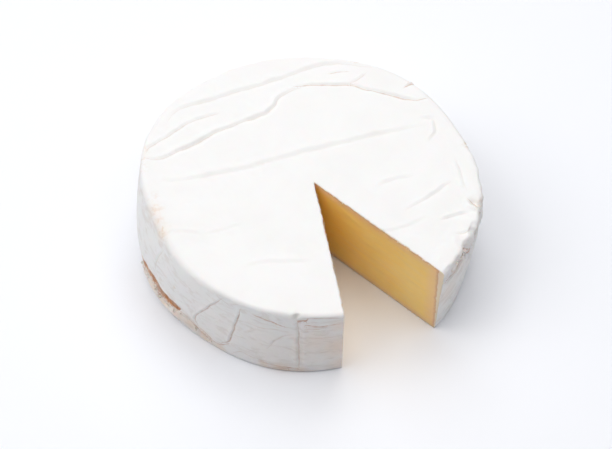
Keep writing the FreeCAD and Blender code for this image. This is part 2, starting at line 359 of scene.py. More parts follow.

# %% [markdown]
# ## Folds, seam and crack as paths
# Cheese paper is folded round the wheel while the mould is still growing, and every fold presses a line into
# the rind. Each line is a short path of a few points, in shares of the radius on the top face, or in degrees
# round the wheel and a share of its height on the side. A smooth curve through the points carries its own
# width, depth and line darkness (a stain on most paths, painted shadow under the right lip), so one Geometry Nodes
# tree can press them all.

# %% The paths
# name: (width, depth and ridge of the pressed line in mm, how dark its drawn line is,
#        half the drawn line's width in mm, points)
TOP_PATHS = {
    "back_fold": (1.6, 0.28, 0.32, 0.10, 0.22, [(-0.50, 0.80), (-0.42, 0.835), (-0.33, 0.836), (0.034, 0.788),
        (0.345, 0.759), (0.503, 0.747), (0.635, 0.687), (0.77, 0.577)]),
    "back_stain": (0.8, 0.20, 0.20, 0.30, 0.16, [(0.52, 0.66), (0.58, 0.64), (0.63, 0.62)]),
    "corner_fold": (1.2, 0.35, 0.35, 0.20, 0.18, [(-0.73, 0.63), (-0.69, 0.66), (-0.545, 0.688),
        (-0.371, 0.719), (-0.223, 0.701)]),
    "left_fold": (1.5, 0.42, 0.50, 0.18, 0.20, [(-0.76, 0.60), (-0.677, 0.549), (-0.457, 0.552),
        (-0.243, 0.571), (0.041, 0.563), (0.18, 0.639), (0.312, 0.642)]),
    "ridge_fold": (1.2, 0.50, 0.50, 0.38, 0.24, [(0.291, 0.666), (0.423, 0.606), (0.584, 0.514),
        (0.654, 0.437), (0.754, 0.326), (0.855, 0.219), (0.929, 0.193)]),
    "branch_fold": (1.0, 0.30, 0.30, 0.20, 0.18, [(0.593, 0.529), (0.65, 0.53), (0.719, 0.547)]),
    "long_fold": (2.0, 0.28, 0.28, 0.03, 0.20, [(-0.744, 0.388), (-0.644, 0.341), (-0.266, 0.233),
        (-0.047, 0.203), (0.455, 0.10), (0.808, 0.009)]),
    "short_crease": (1.4, 0.15, 0.10, 0.00, 0.20, [(-0.16, 0.21), (-0.09, 0.20), (-0.03, 0.18)]),
    "cut_crease": (1.3, 0.20, 0.12, 0.00, 0.20, [(0.13, -0.55), (0.22, -0.58), (0.33, -0.60), (0.44, -0.60)]),
    "left_crease": (1.4, 0.20, 0.15, 0.00, 0.20, [(-0.90, 0.04), (-0.80, -0.02), (-0.73, -0.08)]),
    "low_crease": (1.3, 0.18, 0.10, 0.00, 0.20, [(-0.71, -0.09), (-0.60, -0.11), (-0.50, -0.12)]),
    "front_crease": (1.5, 0.20, 0.15, 0.00, 0.20, [(-0.64, -0.40), (-0.54, -0.42), (-0.29, -0.55)]),
    "wrinkle_a": (1.4, 0.28, 0.35, 0.08, 0.20, [(0.38, -0.49), (0.50, -0.48), (0.62, -0.46), (0.70, -0.44)]),
    "wrinkle_b": (1.4, 0.22, 0.20, 0.04, 0.20, [(0.32, -0.26), (0.42, -0.26), (0.54, -0.29)]),
    "wrinkle_c": (1.2, 0.25, 0.35, 0.05, 0.18, [(0.814, 0.075), (0.873, 0.023), (0.842, -0.061),
        (0.774, -0.104)]),
    "lip_notch": (2.0, 1.10, 0.60, 0.45, 0.30, [(0.731, -0.611), (0.746, -0.665), (0.767, -0.700)]),
    "rim_mark": (1.0, 0.30, 0.40, 0.55, 0.26, [(0.869, 0.338), (0.91, 0.338), (0.941, 0.332)]),
    "wrinkle_d": (1.2, 0.22, 0.40, 0.06, 0.18, [(0.818, -0.31), (0.792, -0.428), (0.751, -0.536)]),
    "wrinkle_e": (1.1, 0.30, 0.35, 0.12, 0.18, [(0.51, -0.655), (0.596, -0.664), (0.658, -0.682)]),
    "wrinkle_f": (1.0, 0.30, 0.30, 0.20, 0.18, [(0.53, -0.785), (0.56, -0.80), (0.60, -0.80)]),
}
SIDE_PATHS = {
    "flap_edge": (0.9, 0.26, 0.30, 0.38, 0.27, [(211.5, 0.93), (207.0, 0.72), (202.5, 0.50), (199.5, 0.32),
        (201.0, 0.21)]),
    "flap_foot": (0.9, 0.26, 0.25, 0.45, 0.28, [(201.0, 0.21), (205.0, 0.15), (208.0, 0.10), (211.0, 0.14),
        (213.5, 0.22)]),
    "flap_side": (0.9, 0.26, 0.30, 0.42, 0.28, [(218.6, 0.90), (217.2, 0.72), (215.6, 0.50), (213.8, 0.28),
        (210.5, 0.16)]),
    "shoulder_slit": (0.8, 0.30, 0.20, 0.60, 0.34, [(223.5, 0.88), (228.0, 0.85), (233.0, 0.80)]),
    "arch_line": (0.8, 0.25, 0.12, 0.20, 0.16, [(227.5, 0.38), (229.8, 0.52), (232.5, 0.63), (235.6, 0.68)]),
    "left_line": (1.0, 0.22, 0.15, 0.20, 0.16, [(180.5, 0.84), (178.4, 0.66), (178.0, 0.52), (180.0, 0.42)]),
    "side_seam": (1.2, 0.42, 0.40, 0.26, 0.22, [(237.2, 0.96), (237.3, 0.93), (237.4, 0.84), (237.6, 0.64),
        (237.8, 0.42), (237.9, 0.06)]),
    "seam_head": (1.0, 0.30, 0.10, 0.80, 0.45, [(237.6, 0.915), (238.8, 0.915), (240.2, 0.925)]),
    "seam_band": (2.6, -0.30, 0.00, 0.00, 0.20, [(239.0, 0.88), (239.3, 0.64), (239.6, 0.42), (239.6, 0.06)]),
    "seam_dip": (2.2, 0.80, 0.20, 0.00, 0.20, [(237.2, 0.93), (237.1, 0.975), (237.0, 0.999)]),
    "skin_step": (0.7, 0.30, 0.20, 0.40, 0.20, [(239.0, 0.955), (244.0, 0.96), (250.0, 0.96)]),
    "tide_line": (0.7, 0.22, 0.15, 0.55, 0.22, [(239.6, 0.85), (244.5, 0.82), (250.5, 0.85)]),
    "drag_line_a": (0.6, 0.16, 0.10, 0.35, 0.16, [(240.0, 0.78), (243.0, 0.775), (246.0, 0.79)]),
    "drag_line_b": (0.6, 0.14, 0.10, 0.25, 0.18, [(241.0, 0.62), (246.0, 0.61), (250.0, 0.63)]),
    "drag_line_c": (0.6, 0.14, 0.10, 0.22, 0.18, [(239.5, 0.36), (244.0, 0.37), (249.0, 0.35)]),
    "drag_line_d": (0.6, 0.14, 0.10, 0.25, 0.16, [(221.5, 0.72), (226.0, 0.71), (231.0, 0.74)]),
    "foot_wave": (0.7, 0.20, 0.15, 0.30, 0.18, [(214.5, 0.06), (218.0, 0.16), (223.0, 0.13), (229.0, 0.15)]),
    "crack": (3.0, 0.75, 0.00, 1.00, 2.10, [(164.5, 0.22), (168.5, 0.26), (172.5, 0.29), (177.5, 0.29),
        (181.5, 0.25), (185.5, 0.24), (189.0, 0.26), (192.0, 0.27)]),
    "crack_fork": (1.6, 0.40, 0.00, 0.80, 1.10, [(179.0, 0.27), (180.5, 0.19), (181.0, 0.10)]),
    "crack_lip": (2.2, -1.00, 0.00, 0.00, 0.20, [(164.0, 0.08), (170.0, 0.14), (176.0, 0.15), (183.0, 0.11),
        (190.0, 0.13), (196.0, 0.14)]),
    "torn_edge": (1.0, 0.40, 0.55, 0.55, 0.42, [(192.8, 0.25), (196.0, 0.24), (199.0, 0.19), (202.0, 0.13),
        (206.0, 0.09)]),
    "foot_lip": (1.0, 0.35, 0.40, 0.45, 0.24, [(225.0, 0.10), (229.0, 0.09), (234.0, 0.08), (239.0, 0.05)]),
    "foot_line": (0.8, 0.25, 0.20, 0.55, 0.22, [(226.0, 0.03), (231.0, 0.02), (236.0, 0.02)]),
    # painted shadow: along the lip's edge and under it, the drawn line stands for the shadow beneath the overhanging
    # top skin
    "lip_edge_a": (1.1, 0.60, 0.90, 0.75, 0.42, [(-70.0, 0.86), (-67.0, 0.84), (-64.0, 0.90), (-61.0, 0.96)]),
    "lip_edge_b": (1.1, 0.55, 0.90, 0.70, 0.40, [(-59.0, 0.93), (-56.0, 0.84), (-52.0, 0.88), (-48.0, 0.94),
        (-44.0, 0.92)]),
    "lip_under": (1.8, 1.00, 0.80, 0.45, 0.40, [(-72, 0.80), (-67, 0.74), (-62, 0.82), (-57, 0.76),
        (-51, 0.80), (-45, 0.84), (-41, 0.90)]),
    "lip_hang": (1.4, 0.45, 0.35, 0.15, 0.20, [(-52.0, 0.80), (-53.0, 0.55), (-54.5, 0.30)]),
}


def on_top(x, y):
    """A point of the skin over a place on the top face."""
    turn = math.atan2(y, x)
    r = float(rim_rounding(turn))
    out = min(math.hypot(x, y) * WHEEL_RADIUS, float(flat_edge(turn)) + r)
    over = max(0.0, out - float(flat_edge(turn))) / r
    z = WHEEL_HEIGHT - r + r * math.sqrt(max(0.0, 1 - over * over))
    return Vector((out * math.cos(turn), out * math.sin(turn), z))


def on_side(degrees, share):
    """A point of the skin at a share of the height."""
    turn, z = math.radians(degrees), share * WHEEL_HEIGHT
    r = float(rim_rounding(turn))
    level = min(1.0, max(0.0, (z - BASE_ROUNDING) / (WHEEL_HEIGHT - r - BASE_ROUNDING)))
    out = float(outline_radius(turn) - side_inset(turn, level))
    if z > WHEEL_HEIGHT - r:
        out -= r - math.sqrt(max(0.0, r * r - (z - WHEEL_HEIGHT + r) ** 2))
    return Vector((out * math.cos(turn), out * math.sin(turn), z))


def smooth_path(corners, gap=0.35):
    """Points along a smooth curve through the corners, about a gap apart."""
    padded = [2 * corners[0] - corners[1]] + corners + [2 * corners[-1] - corners[-2]]
    path = []
    for a, b, c, d in zip(padded, padded[1:], padded[2:], padded[3:]):
        steps = max(2, round((c - b).length / gap))
        for k in range(steps):
            t = k / steps
            bend, twist = 2 * a - 5 * b + 4 * c - d, 3 * b - a - 3 * c + d
            path.append(0.5 * (2 * b + (c - a) * t + bend * t * t + twist * t ** 3))
    return path + [corners[-1]]


WANDER = 0.45   # how far a line strays from its smooth curve, in mm


def make_paths():
    """All the paths as one mesh of edges, with each path's numbers stored on its points."""
    verts, edges, along = [], [], []
    numbers = {name: [] for name in ("width", "deep", "ridge", "stain", "half")}
    lines = [(v, [on_top(*c) for c in v[5]]) for v in TOP_PATHS.values()]
    lines += [(v, [on_side(*c) for c in v[5]]) for v in SIDE_PATHS.values()]
    for (width, deep, ridge, stain, half, _), corners in lines:
        rises = 1.0 if half > 0.3 else 0.0   # only wide torn lines wander up and down
        path = [p + WANDER * Vector((rough(*p, 4.0, 5.0), rough(*p, 4.0, 7.0), rough(*p, 3.0, 4.0) * rises))
                for p in smooth_path(corners)]
        first, last = len(verts), len(path) - 1
        for k, p in enumerate(path):
            ends = min(1.0, 4.0 * min(k, last - k) / len(path) + 0.25)
            uneven = 1 + 0.35 * rough(*p, 5.0, 2.0)
            verts.append(p * MM)
            along.append((path[min(k + 1, last)] - path[max(k - 1, 0)]).normalized())
            for name, value in (("width", width * (0.6 + 0.4 * ends) * uneven), ("deep", deep * ends * uneven),
                                ("ridge", ridge * ends * uneven), ("half", half * (0.5 + 0.5 * ends) * uneven),
                                ("stain", stain * (0.85 + 0.5 * rough(*p, 2.5, 9.0)))):
                numbers[name].append(value)
        edges += [(n, n + 1) for n in range(first, len(verts) - 1)]
    mesh = bpy.data.meshes.new("rind_paths")
    mesh.from_pydata(verts, edges, [])
    for name, values in numbers.items():
        keep_numbers(mesh, name, values)
    keep_vectors(mesh, "along", along)
    return place_mesh("rind_paths", mesh)


rind_paths = make_paths()
print("paths", len(TOP_PATHS) + len(SIDE_PATHS), "with points", len(rind_paths.data.vertices))

# %% [markdown]
# ## Two finishes
# The rind is a felt of white mould grown on the curd: matt, very pale, a little warm where it is thin. The
# paste is ripe curd: smooth, moist, golden, and light sinks a few millimetres into it. Each finish is one
# material whose pattern sizes are worked out from millimetres.

# %% Helpers for colours and nodes
def colour(code):
    """An sRGB hex colour as linear values, which is what a shader mixes."""
    parts = [int(code[i:i + 2], 16) / 255 for i in (1, 3, 5)]
    return tuple(c / 12.92 if c <= 0.04045 else ((c + 0.055) / 1.055) ** 2.4 for c in parts) + (1.0,)


def add(tree, kind, inputs=None, out=0, **settings):
    """Adds a node, sets or links its inputs, and gives back one output, or the node when out is None."""
    node = tree.nodes.new(kind)
    for name, value in settings.items():
        setattr(node, name, value)
    for key, value in (inputs or {}).items():
        if isinstance(value, bpy.types.NodeSocket):
            tree.links.new(value, node.inputs[key])
        else:
            node.inputs[key].default_value = value
    return node if out is None or not node.outputs else node.outputs[out]


def new_finish(name):
    finish = bpy.data.materials.new(name)
    finish.use_nodes = True
    finish.node_tree.nodes.clear()
    return finish, finish.node_tree


# %% Bloomy rind: white penicillium felt on soft curd
def make_bloomy_rind():
    # Grown mould scatters light in every direction, so it looks flat white with hardly any gloss.
    finish, tree = new_finish("bloomy_mould_rind")
    place = add(tree, "ShaderNodeTexCoord", out="Object")
    mm = add(tree, "ShaderNodeVectorMath", {0: place, 3: 1 / MM}, operation="SCALE")
    fold, line_gap, line_dark, rubbed, cream_and_warm_light = (
        add(tree, "ShaderNodeAttribute", attribute_name=name, out="Fac")
        for name in ("fold", "line_gap", "line_dark", "rubbed", "cream_and_warm_light"))
    # cloudy patches about 15 mm across, where the felt is thicker or thinner
    clouds = add(tree, "ShaderNodeTexNoise", {"Vector": mm, "Scale": 1 / 15, "Detail": 3.0}, out="Fac")
    patch = add(tree, "ShaderNodeMapRange", {0: clouds, 1: 0.40, 2: 0.70, 3: 0.0, 4: 0.35})
    felt = add(tree, "ShaderNodeMix", {0: patch, 6: colour("#F1F0EF"), 7: colour("#EBE9E7")}, data_type="RGBA",
            out=2)
    # painted shade: the folds' creases are coloured grey-brown, darker the deeper the fold is pressed
    painted_fold_shade = add(tree, "ShaderNodeMath", {0: fold, 1: 0.35}, operation="MULTIPLY", use_clamp=True)
    # rubbed places break up into flecks about 1.4 mm across
    flecks = add(tree, "ShaderNodeTexNoise", {"Vector": mm, "Scale": 1 / 1.4, "Detail": 2.0}, out="Fac")
    flecked = add(tree, "ShaderNodeMapRange", {0: flecks, 1: 0.44, 2: 0.66})
    rubbed_here = add(tree, "ShaderNodeMath", {0: rubbed, 1: flecked}, operation="MULTIPLY", use_clamp=True)
    # the drawn line: its gap counts outwards from the line's middle, and noise makes its edges ragged
    torn = add(tree, "ShaderNodeTexNoise", {"Vector": mm, "Scale": 1 / 1.3, "Detail": 3.0}, out="Fac")
    wide = add(tree, "ShaderNodeMath", {0: line_gap}, operation="ABSOLUTE")
    ragged = add(tree, "ShaderNodeMath", {0: torn, 1: 1.6, 2: wide}, operation="MULTIPLY_ADD")
    inside = add(tree, "ShaderNodeMapRange", {0: ragged, 1: 1.45, 2: 1.95, 3: 1.0, 4: 0.0})
    stain_and_shadow_line = add(tree, "ShaderNodeMath", {0: inside, 1: line_dark}, operation="MULTIPLY", use_clamp=True)
    rust = add(tree, "ShaderNodeMix", {0: flecks, 6: colour("#8F4517"), 7: colour("#DB9F6C")},
            data_type="RGBA", out=2)
    # the side, where the paper was pleated, is crinkled all over; the top was pressed flat
    facing = add(tree, "ShaderNodeNewGeometry", out="Normal")
    upright = add(tree, "ShaderNodeSeparateXYZ", {0: facing}, out="Z")
    on_edge = add(tree, "ShaderNodeMapRange", {0: upright, 1: 0.35, 2: 0.85, 3: 1.0, 4: 0.0})
    pleated = add(tree, "ShaderNodeMapping", {"Vector": mm, "Scale": (0.55, 0.55, 1.5)})
    crinkles = add(tree, "ShaderNodeTexNoise", {"Vector": pleated, "Scale": 1 / 5, "Detail": 4.0,
            "Roughness": 0.55, "Distortion": 1.2}, out="Fac")
    # painted shade: the crinkles' hollows on the side are coloured grey, where shade would fall
    crinkle_shade = add(tree, "ShaderNodeMapRange", {0: crinkles, 1: 0.50, 2: 0.62, 3: 0.0, 4: 0.34})
    painted_crinkle_shade = add(tree, "ShaderNodeMath", {0: crinkle_shade, 1: on_edge}, operation="MULTIPLY")
    # each layer covers the ones before it: painted shade in the creases, cream where the felt is thin and painted
    # warm light beside the cut, rubbed flecks, rust in the lines and painted shadow under the lip, painted shade in
    # the hollows
    look = felt
    for share, over in ((painted_fold_shade, colour("#DCD5CE")), (cream_and_warm_light, colour("#F0DCCB")),
                        (rubbed_here, colour("#DDC3AC")), (stain_and_shadow_line, rust), (painted_crinkle_shade, colour("#D9CEC6"))):
        look = add(tree, "ShaderNodeMix", {0: share, 6: look, 7: over}, data_type="RGBA", out=2)
    pleats = add(tree, "ShaderNodeMath", {0: crinkles, 1: on_edge}, operation="MULTIPLY")
    folded_bump = add(tree, "ShaderNodeBump", {"Height": pleats, "Strength": 0.6, "Distance": 1.1 * MM})
    # felt of fine threads, drawn at 0.5 mm, coarser than the real 0.05 mm, so that it shows
    threads = add(tree, "ShaderNodeTexNoise", {"Vector": mm, "Scale": 1 / 0.5, "Detail": 4.0,
            "Roughness": 0.6}, out="Fac")
    bump = add(tree, "ShaderNodeBump", {"Height": threads, "Strength": 0.25, "Distance": 0.12 * MM,
            "Normal": folded_bump})
    skin = add(tree, "ShaderNodeBsdfPrincipled", {"Base Color": look, "Roughness": 0.82, "Normal": bump,
               "IOR": 1.40, "Specular IOR Level": 0.25, "Sheen Weight": 0.12, "Sheen Roughness": 0.6,
               "Subsurface Weight": 0.12, "Subsurface Scale": 1.2 * MM})
    add(tree, "ShaderNodeOutputMaterial", {"Surface": skin})
    return finish


bloomy_rind = make_bloomy_rind()


# %% Ripe paste: moist golden curd, cut with a knife
def make_ripe_paste():
    # Ripe curd is wet with butterfat: a soft gloss, and a glow where light gets in and comes out again.
    finish, tree = new_finish("ripe_cut_paste")
    place = add(tree, "ShaderNodeTexCoord", out="Object")
    mm = add(tree, "ShaderNodeVectorMath", {0: place, 3: 1 / MM}, operation="SCALE")
    under = add(tree, "ShaderNodeAttribute", attribute_name="skin_depth", out="Fac")
    # the rind's inner edge wanders by a third of a millimetre
    wander = add(tree, "ShaderNodeTexNoise", {"Vector": mm, "Scale": 1 / 2.2, "Detail": 3.0}, out="Fac")
    shifted = add(tree, "ShaderNodeMath", {0: wander, 1: 0.9, 2: under}, operation="MULTIPLY_ADD")
    clouds = add(tree, "ShaderNodeTexNoise", {"Vector": mm, "Scale": 1 / 9, "Detail": 2.0}, out="Fac")
    streaked = add(tree, "ShaderNodeMapping", {"Vector": mm, "Scale": (0.12, 0.12, 1.0)})
    streaks = add(tree, "ShaderNodeTexNoise", {"Vector": streaked, "Scale": 1 / 1.6, "Detail": 3.0}, out="Fac")
    gold = add(tree, "ShaderNodeMix", {0: clouds, 6: colour("#FAD074"), 7: colour("#FDDD90")},
            data_type="RGBA", out=2)
    streak_share = add(tree, "ShaderNodeMapRange", {0: streaks, 1: 0.45, 2: 0.75, 3: 0.0, 4: 0.4})
    # painted light: towards the wheel's axis, deep in the notch where the cut faces shade each other, the paste is
    # painted a paler, clearer yellow
    away = add(tree, "ShaderNodeVectorMath", {0: mm, 1: (1.0, 1.0, 0.0)}, operation="MULTIPLY")
    from_axis = add(tree, "ShaderNodeVectorMath", {0: away}, operation="LENGTH", out="Value")
    painted_light_near_axis = add(tree, "ShaderNodeMapRange", {0: from_axis, 1: 6.0, 2: 34.0, 3: 0.85, 4: 0.0})
    # a paler band lies under the rind, then a thin tan line, then the white rind itself
    pale_in = add(tree, "ShaderNodeMapRange", {0: shifted, 1: 1.2, 2: 4.2, 3: 0.75, 4: 0.0})
    tan_in = add(tree, "ShaderNodeMapRange", {0: shifted, 1: 0.95, 2: 1.5, 3: 0.8, 4: 0.0})
    rind_in = add(tree, "ShaderNodeMapRange", {0: shifted, 1: 0.70, 2: 0.95, 3: 1.0, 4: 0.0})
    look = gold
    for share, over in ((streak_share, "#F0D596"), (painted_light_near_axis, "#FFD576"), (pale_in, "#EEC9A4"),
                        (tan_in, "#D5A886"), (rind_in, "#EADCC8")):
        look = add(tree, "ShaderNodeMix", {0: share, 6: look, 7: colour(over)}, data_type="RGBA", out=2)
    wet = add(tree, "ShaderNodeMapRange", {0: rind_in, 1: 0.0, 2: 1.0, 3: 0.38, 4: 0.8})
    grain = add(tree, "ShaderNodeTexNoise", {"Vector": mm, "Scale": 1 / 0.7, "Detail": 3.0}, out="Fac")
    drag = add(tree, "ShaderNodeMath", {0: streaks, 1: 0.6, 2: grain}, operation="MULTIPLY_ADD")
    bump = add(tree, "ShaderNodeBump", {"Height": drag, "Strength": 0.35, "Distance": 0.15 * MM})
    curd = add(tree, "ShaderNodeBsdfPrincipled", {"Base Color": look, "Roughness": wet, "Normal": bump,
               "IOR": 1.45, "Specular IOR Level": 0.4, "Subsurface Weight": 0.4,
               "Subsurface Radius": (1.0, 0.6, 0.25), "Subsurface Scale": 3.0 * MM})
    add(tree, "ShaderNodeOutputMaterial", {"Surface": curd})
    return finish


ripe_paste = make_ripe_paste()
print("finishes", bloomy_rind.name, ripe_paste.name)

# %% [markdown]
# ## Pressing the folds
# For each point of the skin the tree finds the nearest place on any path, reads that path's width, depth and
# line darkness there (a stain on most paths, painted shadow under the right lip), and pushes the skin in, away from
# its own way out. One side of a paper fold always stands up as a small ridge, so the tree also asks on which side of
# the path the point lies. Noise adds the gentle lumps of a cheese that ripened on a rack, and stronger wrinkles where
# the rind has come loose.

# %% The press_folds tree
PULLED_FROM = (-0.45, 0.80, 0.40)   # towards the back left and up, where a fold's ridge stands


def new_tree(name, sizes):
    tree = bpy.data.node_groups.new(name, "GeometryNodeTree")
    tree.interface.new_socket("Geometry", in_out="INPUT", socket_type="NodeSocketGeometry")
    for label, kind, value in sizes:
        socket = tree.interface.new_socket(label, in_out="INPUT", socket_type=kind)
        if value is not None:
            socket.default_value = value
    tree.interface.new_socket("Geometry", in_out="OUTPUT", socket_type="NodeSocketGeometry")
    return tree, add(tree, "NodeGroupInput", out=None)


def read_path(tree, paths, nearest, name):
    """A path's own number at the place nearest to each point of the skin."""
    value = add(tree, "GeometryNodeInputNamedAttribute", {"Name": name}, data_type="FLOAT")
    return add(tree, "GeometryNodeSampleIndex", {"Geometry": paths, "Value": value, "Index": nearest},
               data_type="FLOAT", domain="POINT")


def press_folds_tree():
    tree, given = new_tree("press_folds", [
        ("Paths", "NodeSocketObject", None),
        ("Lump height", "NodeSocketFloat", 0.30), ("Lump size", "NodeSocketFloat", 14.0),
        ("Grain height", "NodeSocketFloat", 0.10), ("Grain size", "NodeSocketFloat", 3.0),
        ("Loose wrinkle height", "NodeSocketFloat", 0.75), ("Loose wrinkle size", "NodeSocketFloat", 6.5)])
    paths = add(tree, "GeometryNodeObjectInfo", {"Object": given.outputs["Paths"]}, out="Geometry")
    here = add(tree, "GeometryNodeInputPosition")
    near = add(tree, "GeometryNodeProximity", {"Geometry": paths}, target_element="EDGES", out=None)
    gap = add(tree, "ShaderNodeMath", {0: near.outputs["Distance"], 1: 1 / MM}, operation="MULTIPLY")
    nearest = add(tree, "GeometryNodeSampleNearest", {"Geometry": paths, "Sample Position": here},
            domain="POINT")
    width, deep, ridge, stain, half = (read_path(tree, paths, nearest, name)
                                       for name in ("width", "deep", "ridge", "stain", "half"))
    along_here = add(tree, "GeometryNodeInputNamedAttribute", {"Name": "along"}, data_type="FLOAT_VECTOR")
    along = add(tree, "GeometryNodeSampleIndex", {"Geometry": paths, "Value": along_here, "Index": nearest},
                data_type="FLOAT_VECTOR", domain="POINT")
    outward = add(tree, "GeometryNodeInputNamedAttribute", {"Name": "outward"}, data_type="FLOAT_VECTOR")
    # the groove: a soft bell across the path
    across = add(tree, "ShaderNodeMath", {0: gap, 1: width}, operation="DIVIDE")
    twice = add(tree, "ShaderNodeMath", {0: across, 1: 1.9}, operation="MULTIPLY")
    square = add(tree, "ShaderNodeMath", {0: twice, 1: twice}, operation="MULTIPLY")
    minus = add(tree, "ShaderNodeMath", {0: square, 1: -1.0}, operation="MULTIPLY")
    bell = add(tree, "ShaderNodeMath", {0: minus}, operation="EXPONENT")
    # the ridge: a wider bell beside the path, on the side that the paper was pulled from
    offset = add(tree, "ShaderNodeVectorMath", {0: here, 1: near.outputs["Position"]}, operation="SUBTRACT")
    facing = add(tree, "ShaderNodeVectorMath", {0: offset, 1: PULLED_FROM}, operation="DOT_PRODUCT",
            out="Value")
    # a gap with a sign, one side of the path against the other, so that the line between points stays sharp
    leftward = add(tree, "ShaderNodeVectorMath", {0: outward, 1: along}, operation="CROSS_PRODUCT")
    side_of = add(tree, "ShaderNodeVectorMath", {0: offset, 1: leftward}, operation="DOT_PRODUCT", out="Value")
    sign = add(tree, "ShaderNodeMath", {0: side_of}, operation="SIGN")
    signed = add(tree, "ShaderNodeMath", {0: gap, 1: sign}, operation="MULTIPLY")
    line_gap = add(tree, "ShaderNodeMath", {0: signed, 1: half}, operation="DIVIDE")
    reach_in = add(tree, "ShaderNodeMath", {0: half, 1: 2.0, 2: 0.7}, operation="MULTIPLY_ADD")
    reach_out = add(tree, "ShaderNodeMath", {0: half, 1: 2.0, 2: 1.2}, operation="MULTIPLY_ADD")
    close = add(tree, "ShaderNodeMapRange", {0: gap, 1: reach_in, 2: reach_out, 3: 1.0, 4: 0.0})
    line_dark = add(tree, "ShaderNodeMath", {0: stain, 1: close}, operation="MULTIPLY", use_clamp=True)
    sided = add(tree, "ShaderNodeMapRange", {0: facing, 1: -0.2 * MM, 2: 0.5 * MM, 3: 0.0, 4: 1.0})
    beside = add(tree, "ShaderNodeMath", {0: across, 1: 0.9}, operation="SUBTRACT")
    beside2 = add(tree, "ShaderNodeMath", {0: beside, 1: beside}, operation="MULTIPLY")
    beside3 = add(tree, "ShaderNodeMath", {0: beside2, 1: -2.2}, operation="MULTIPLY")
    ridge_bell = add(tree, "ShaderNodeMath", {0: beside3}, operation="EXPONENT")
    ridge_here = add(tree, "ShaderNodeMath", {0: ridge_bell, 1: sided}, operation="MULTIPLY")
    raised = add(tree, "ShaderNodeMath", {0: ridge_here, 1: ridge}, operation="MULTIPLY")
    sunk = add(tree, "ShaderNodeMath", {0: bell, 1: deep}, operation="MULTIPLY")
    folded = add(tree, "ShaderNodeMath", {0: raised, 1: sunk}, operation="SUBTRACT")
    # lumps and grain all over, and loose wrinkles where the attribute says so
    mm = add(tree, "ShaderNodeVectorMath", {0: here, 3: 1 / MM}, operation="SCALE")
    total = folded
    loose = add(tree, "GeometryNodeInputNamedAttribute", {"Name": "loose"}, data_type="FLOAT")
    for height, size_name, mask in (("Lump height", "Lump size", None), ("Grain height", "Grain size", None),
                                    ("Loose wrinkle height", "Loose wrinkle size", loose)):
        rate = add(tree, "ShaderNodeMath", {0: 1.0, 1: given.outputs[size_name]}, operation="DIVIDE")
        lumps = add(tree, "ShaderNodeTexNoise", {"Vector": mm, "Scale": rate, "Detail": 2.0}, out="Fac")
        level = add(tree, "ShaderNodeMath", {0: lumps, 1: 0.5}, operation="SUBTRACT")
        amount = add(tree, "ShaderNodeMath", {0: level, 1: given.outputs[height]}, operation="MULTIPLY")
        if mask is not None:
            amount = add(tree, "ShaderNodeMath", {0: amount, 1: mask}, operation="MULTIPLY")
        doubled = add(tree, "ShaderNodeMath", {0: amount, 1: 2.0}, operation="MULTIPLY")
        total = add(tree, "ShaderNodeMath", {0: total, 1: doubled}, operation="ADD")
    is_skin = add(tree, "GeometryNodeInputNamedAttribute", {"Name": "is_skin"}, data_type="FLOAT")
    free = add(tree, "GeometryNodeInputNamedAttribute", {"Name": "free"}, data_type="FLOAT")
    held = add(tree, "ShaderNodeMath", {0: is_skin, 1: free}, operation="MULTIPLY")
    shift = add(tree, "ShaderNodeMath", {0: total, 1: held}, operation="MULTIPLY")
    metres = add(tree, "ShaderNodeMath", {0: shift, 1: MM}, operation="MULTIPLY")
    move = add(tree, "ShaderNodeVectorMath", {0: outward, 3: metres}, operation="SCALE")
    # the fold's depth, which the rind paints as shade in the crease
    fold_shade_mark = add(tree, "ShaderNodeMath", {0: sunk, 1: 0.6}, operation="DIVIDE", use_clamp=True)
    geometry_now = given.outputs["Geometry"]
    for name, value in (("fold", fold_shade_mark), ("line_gap", line_gap), ("line_dark", line_dark)):
        stored = {"Geometry": geometry_now, "Name": name, "Value": value}
        geometry_now = add(tree, "GeometryNodeStoreNamedAttribute", stored, data_type="FLOAT", domain="POINT")
    moved = add(tree, "GeometryNodeSetPosition", {"Geometry": geometry_now, "Offset": move})
    real = add(tree, "GeometryNodeRealizeInstances", {"Geometry": moved})
    cut = add(tree, "GeometryNodeInputNamedAttribute", {"Name": "cut_face"}, data_type="FLOAT")
    is_cut = add(tree, "FunctionNodeCompare", {0: cut, 1: 0.5}, data_type="FLOAT", operation="GREATER_THAN")
    skinned = add(tree, "GeometryNodeSetMaterial", {"Geometry": real, "Material": bloomy_rind})
    both = add(tree, "GeometryNodeSetMaterial", {"Geometry": skinned, "Selection": is_cut,
            "Material": ripe_paste})
    add(tree, "NodeGroupOutput", {"Geometry": both})
    return tree


# %% Mark where the rind is loose, rubbed or free to move, then run the tree
LOOSE_AT = (-48.0, 24.0)
RUBBED_SPOTS = [  # degrees round, share of height, size in mm, strength
    (166.0, 0.99, 2.6, 0.5), (171.0, 0.98, 2.0, 0.4), (175.5, 0.98, 2.4, 0.6), (178.5, 0.95, 1.6, 0.5),
    (160.0, 1.0, 2.0, 0.4), (146.0, 0.99, 2.0, 0.5), (143.0, 0.99, 1.6, 0.5), (138.0, 0.99, 2.0, 0.4),
    (22.0, 0.98, 1.8, 1.0), (12.0, 0.97, 1.2, 0.9), (-14.2, 0.985, 1.5, 1.0), (-40.0, 0.96, 2.4, 0.6),
    (-60.0, 0.95, 2.4, 0.5), (43.0, 0.98, 2.0, 0.5), (197.0, 0.50, 1.6, 0.4), (190.0, 0.55, 1.6, 0.4),
]
